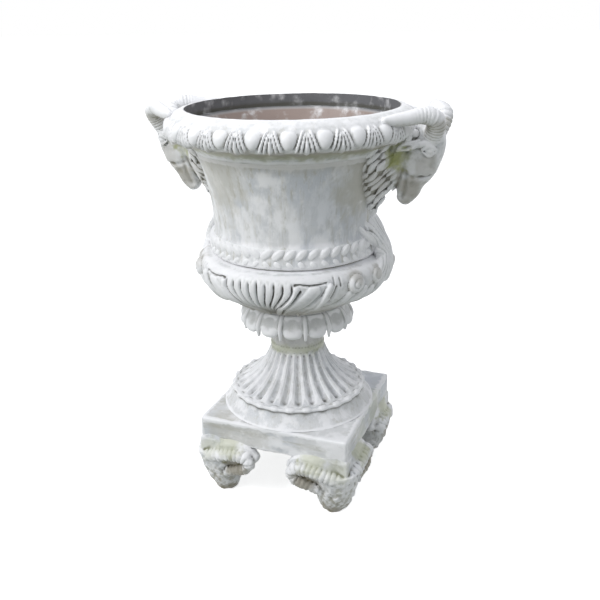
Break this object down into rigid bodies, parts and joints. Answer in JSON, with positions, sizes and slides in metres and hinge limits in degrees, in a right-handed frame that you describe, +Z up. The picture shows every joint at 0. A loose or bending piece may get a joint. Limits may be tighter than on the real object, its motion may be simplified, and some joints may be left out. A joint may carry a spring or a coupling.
{
  "type": "garden urn planter",
  "caption": "Footed garden urn with a flared bell bowl, egg-moulded rim, ram's-head handles, petal collar, fluted stem and a square plinth on scroll feet; holds soil and plants.",
  "frame": {"origin": "on the ground under the centre of the plinth, on the bowl's axis", "axes": "+Z up along the bowl's axis, X through the two handles, Y square to one face of the plinth"},
  "size_m": [0.6434, 0.531, 0.8667],
  "materials": {
    "cast_stone": "satin",
    "mortar": "matte",
    "galvanised_steel": "satin"
  },
  "bodies": {
    "root": {"bowl_upper": "cast_stone", "bowl_lower": "cast_stone", "petal_collar": "cast_stone", "fluted_stem": "cast_stone", "plinth_block": "cast_stone", "foot_front_right": "cast_stone", "foot_front_left": "cast_stone", "foot_back_right": "cast_stone", "foot_back_left": "cast_stone", "ram_head_right": "cast_stone", "ram_head_left": "cast_stone", "horn_right_front": "cast_stone", "horn_right_back": "cast_stone", "horn_left_front": "cast_stone", "horn_left_back": "cast_stone", "handle_leaf_right": "cast_stone", "handle_leaf_left": "cast_stone", "stem_bed": "mortar", "neck_bed": "mortar", "collar_bed": "mortar", "bowl_bed": "mortar", "foot_bed_front_right": "mortar", "foot_bed_front_left": "mortar", "foot_bed_back_right": "mortar", "foot_bed_back_left": "mortar", "tie_rod": "galvanised_steel", "top_washer": "galvanised_steel", "top_nut": "galvanised_steel", "bottom_bar": "galvanised_steel", "bottom_nut": "galvanised_steel", "foot_pins": "galvanised_steel", "head_pins": "galvanised_steel", "horn_pins": "galvanised_steel"}
  },
  "joints": []
}
